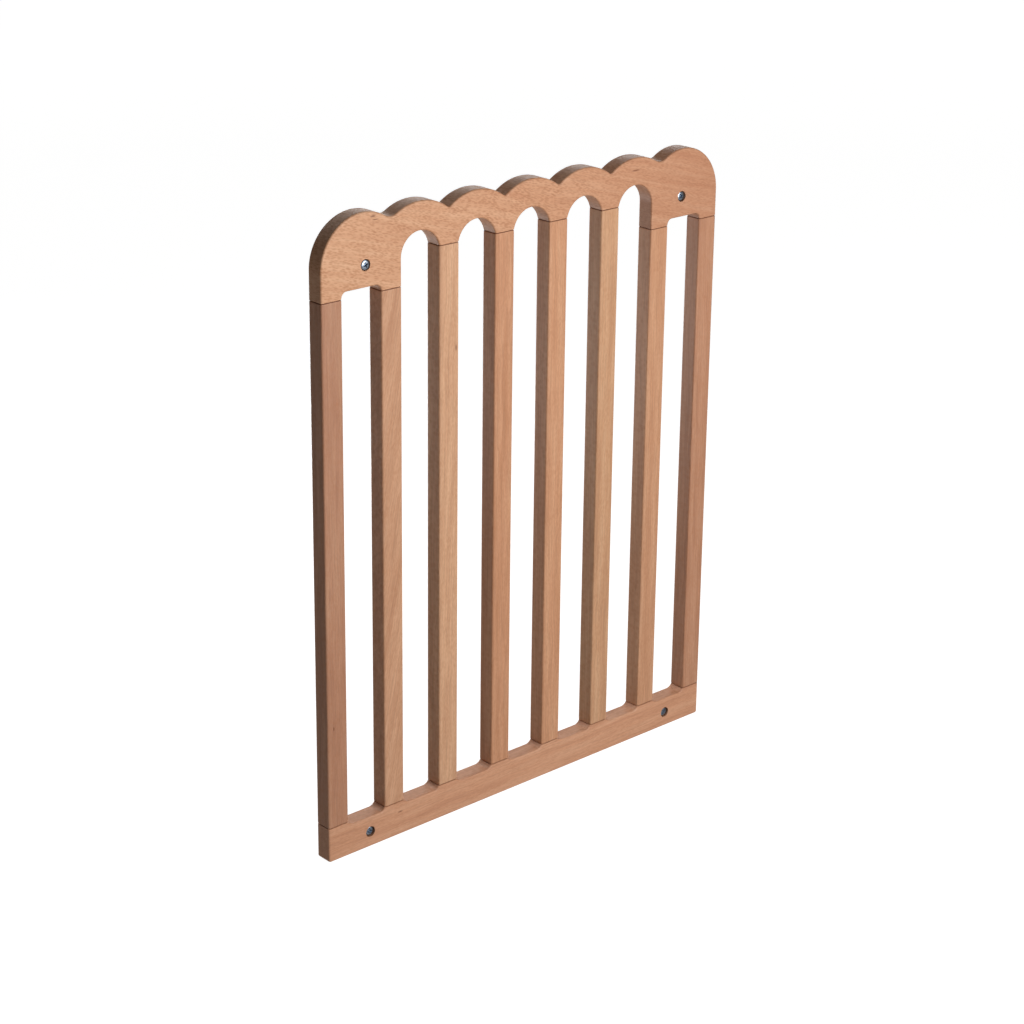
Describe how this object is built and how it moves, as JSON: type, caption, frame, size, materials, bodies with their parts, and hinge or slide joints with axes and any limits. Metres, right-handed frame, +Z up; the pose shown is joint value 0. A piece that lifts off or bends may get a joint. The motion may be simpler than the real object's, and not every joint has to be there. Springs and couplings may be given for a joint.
{
  "type": "slatted safety barrier panel",
  "caption": "Fixed slatted beech barrier panel with a scalloped top rail, flat upright slats and a counterbored pan-head screw at each corner.",
  "frame": {"origin": "middle of the underside of the bottom rail, halfway through its thickness", "axes": "+Z up along the slats, +X along the rails, -Y out of the front face where the screw heads are"},
  "size_m": [0.6, 0.0456, 0.75],
  "materials": {
    "beech_rail": "satin oiled beech, grain along the rail",
    "beech_slat": "satin oiled beech, grain along the slat",
    "beech_dowel": "raw beech",
    "zinc_screw": "bright zinc plate",
    "zinc_washer": "bright zinc plate"
  },
  "bodies": {
    "panel": {"top_rail": "beech_rail", "bottom_rail": "beech_rail", "slat_1": "beech_slat", "slat_2": "beech_slat", "slat_3": "beech_slat", "slat_4": "beech_slat", "slat_5": "beech_slat", "slat_6": "beech_slat", "slat_7": "beech_slat", "slat_8": "beech_slat", "dowel_top_1a": "beech_dowel", "dowel_top_1b": "beech_dowel", "dowel_top_2a": "beech_dowel", "dowel_top_2b": "beech_dowel", "dowel_top_3a": "beech_dowel", "dowel_top_3b": "beech_dowel", "dowel_top_4a": "beech_dowel", "dowel_top_4b": "beech_dowel", "dowel_top_5a": "beech_dowel", "dowel_top_5b": "beech_dowel", "dowel_top_6a": "beech_dowel", "dowel_top_6b": "beech_dowel", "dowel_top_7a": "beech_dowel", "dowel_top_7b": "beech_dowel", "dowel_top_8a": "beech_dowel", "dowel_top_8b": "beech_dowel", "dowel_bottom_1a": "beech_dowel", "dowel_bottom_1b": "beech_dowel", "dowel_bottom_2a": "beech_dowel", "dowel_bottom_2b": "beech_dowel", "dowel_bottom_3a": "beech_dowel", "dowel_bottom_3b": "beech_dowel", "dowel_bottom_4a": "beech_dowel", "dowel_bottom_4b": "beech_dowel", "dowel_bottom_5a": "beech_dowel", "dowel_bottom_5b": "beech_dowel", "dowel_bottom_6a": "beech_dowel", "dowel_bottom_6b": "beech_dowel", "dowel_bottom_7a": "beech_dowel", "dowel_bottom_7b": "beech_dowel", "dowel_bottom_8a": "beech_dowel", "dowel_bottom_8b": "beech_dowel"},
    "washer_top_left": {"washer_top_left": "zinc_washer"},
    "washer_top_right": {"washer_top_right": "zinc_washer"},
    "washer_bottom_left": {"washer_bottom_left": "zinc_washer"},
    "washer_bottom_right": {"washer_bottom_right": "zinc_washer"},
    "screw_top_left": {"screw_top_left": "zinc_screw"},
    "screw_top_right": {"screw_top_right": "zinc_screw"},
    "screw_bottom_left": {"screw_bottom_left": "zinc_screw"},
    "screw_bottom_right": {"screw_bottom_right": "zinc_screw"}
  },
  "joints": [
    {"name": "draw_top_left", "type": "slide", "parent": "panel", "child": "washer_top_left", "axis": [0, -1, 0], "range_m": [-0.002, 0.0394]},
    {"name": "turn_top_left", "type": "hinge", "parent": "washer_top_left", "child": "screw_top_left", "pos_m": [-0.24, -0.0078, 0.692], "axis": [0, -1, 0], "continuous": true},
    {"name": "draw_top_right", "type": "slide", "parent": "panel", "child": "washer_top_right", "axis": [0, -1, 0], "range_m": [-0.0006, 0.0408]},
    {"name": "turn_top_right", "type": "hinge", "parent": "washer_top_right", "child": "screw_top_right", "pos_m": [0.24, -0.0064, 0.692], "axis": [0, -1, 0], "continuous": true},
    {"name": "draw_bottom_left", "type": "slide", "parent": "panel", "child": "washer_bottom_left", "axis": [0, -1, 0], "range_m": [0, 0.0414]},
    {"name": "turn_bottom_left", "type": "hinge", "parent": "washer_bottom_left", "child": "screw_bottom_left", "pos_m": [-0.24, -0.0058, 0.019], "axis": [0, -1, 0], "continuous": true},
    {"name": "draw_bottom_right", "type": "slide", "parent": "panel", "child": "washer_bottom_right", "axis": [0, -1, 0], "range_m": [0, 0.0414]},
    {"name": "turn_bottom_right", "type": "hinge", "parent": "washer_bottom_right", "child": "screw_bottom_right", "pos_m": [0.24, -0.0058, 0.019], "axis": [0, -1, 0], "continuous": true}
  ]
}
